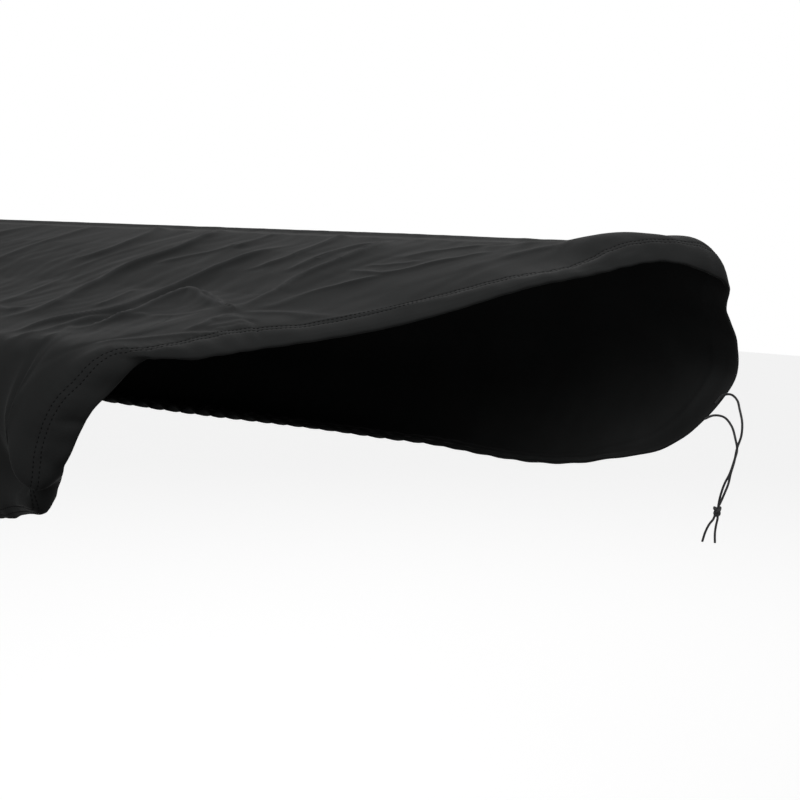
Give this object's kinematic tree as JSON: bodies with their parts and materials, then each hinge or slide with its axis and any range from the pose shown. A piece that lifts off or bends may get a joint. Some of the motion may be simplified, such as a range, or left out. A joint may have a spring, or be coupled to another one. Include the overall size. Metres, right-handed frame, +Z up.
{
  "type": "keyboard dust cover",
  "caption": "Fitted stretch dust cover for a digital piano or synthesizer, one front corner turned back off the keys, with the knotted ends of its hem cord.",
  "frame": {"origin": "under the top cloth at mid length and mid depth of the keyboard it covers, where the cloth rests on it", "axes": "+X along the length to the turned-back end, +Y to the back, +Z up"},
  "size_m": [0.9564, 0.4498, 0.2137],
  "materials": {
    "black_knit": "fine stretch knit with a soft sheen",
    "black_cord": "fine braided elastic cord"
  },
  "bodies": {
    "root": {"cover": "black_knit", "cord_a": "black_cord", "cord_b": "black_cord", "knot": "black_cord", "tail_a": "black_cord", "tail_b": "black_cord"}
  },
  "joints": []
}
